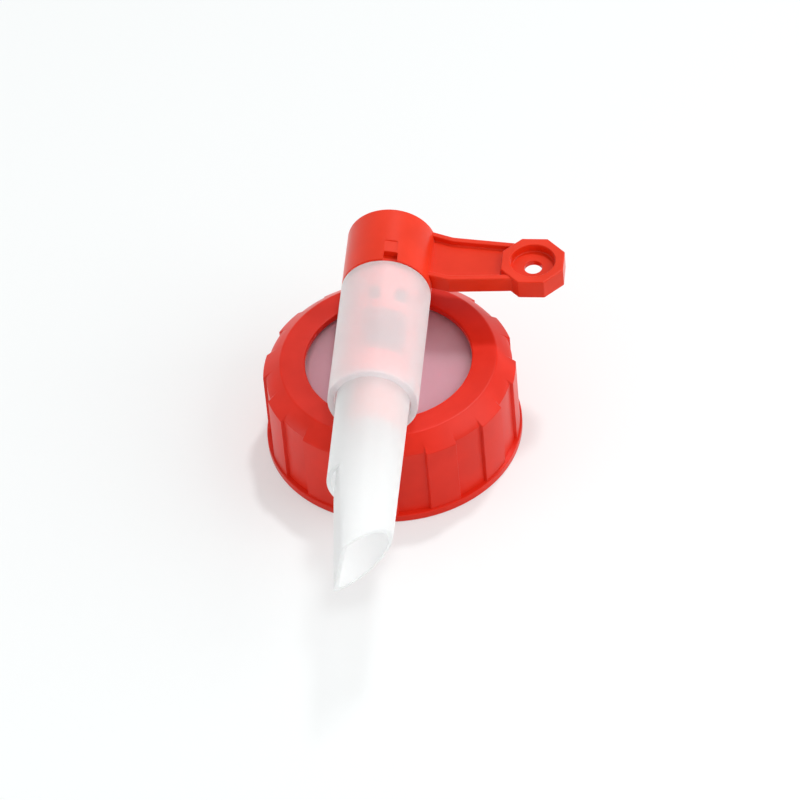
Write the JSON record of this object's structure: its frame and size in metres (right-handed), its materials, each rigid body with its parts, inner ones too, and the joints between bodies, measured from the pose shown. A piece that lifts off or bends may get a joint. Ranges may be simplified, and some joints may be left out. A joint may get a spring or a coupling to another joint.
{
  "type": "jerrycan tap",
  "caption": "Screw cap tap for a jerrycan: a lever turned plug in a clear barrel across the cap, and a long spout with a slanted mouth.",
  "frame": {"origin": "middle of the object's footprint on the surface that the cap's open rim stands on", "axes": "+Z along the axis of the neck, away from the can; -Y along the barrel towards the spout's mouth; +X towards the lever's head in its closed position"},
  "size_m": [0.0834, 0.1282, 0.0538],
  "materials": {
    "cap_plastic": "moulded polyethylene, satin",
    "gasket_foam": "soft sealing foam",
    "clear_plastic": "natural polypropylene, translucent",
    "plug_plastic": "moulded polyethylene, satin",
    "spout_plastic": "natural white polyethylene, satin"
  },
  "bodies": {
    "tap_body": {"tap_body": "clear_plastic", "neck_gasket": "gasket_foam"},
    "screw_cap": {"screw_cap": "cap_plastic"},
    "plug": {"lever_plug": "plug_plastic", "spout_tube": "spout_plastic"}
  },
  "joints": [
    {"name": "cap_turn", "type": "hinge", "parent": "tap_body", "child": "screw_cap", "pos_m": [-0.0062, 0.0286, 0.0141], "axis": [0, 0, 1], "continuous": true},
    {"name": "lever_turn", "type": "hinge", "parent": "tap_body", "child": "plug", "pos_m": [-0.00695, 0.0286, 0.0414], "axis": [0, -1, 0], "range_deg": [0, 180]}
  ]
}
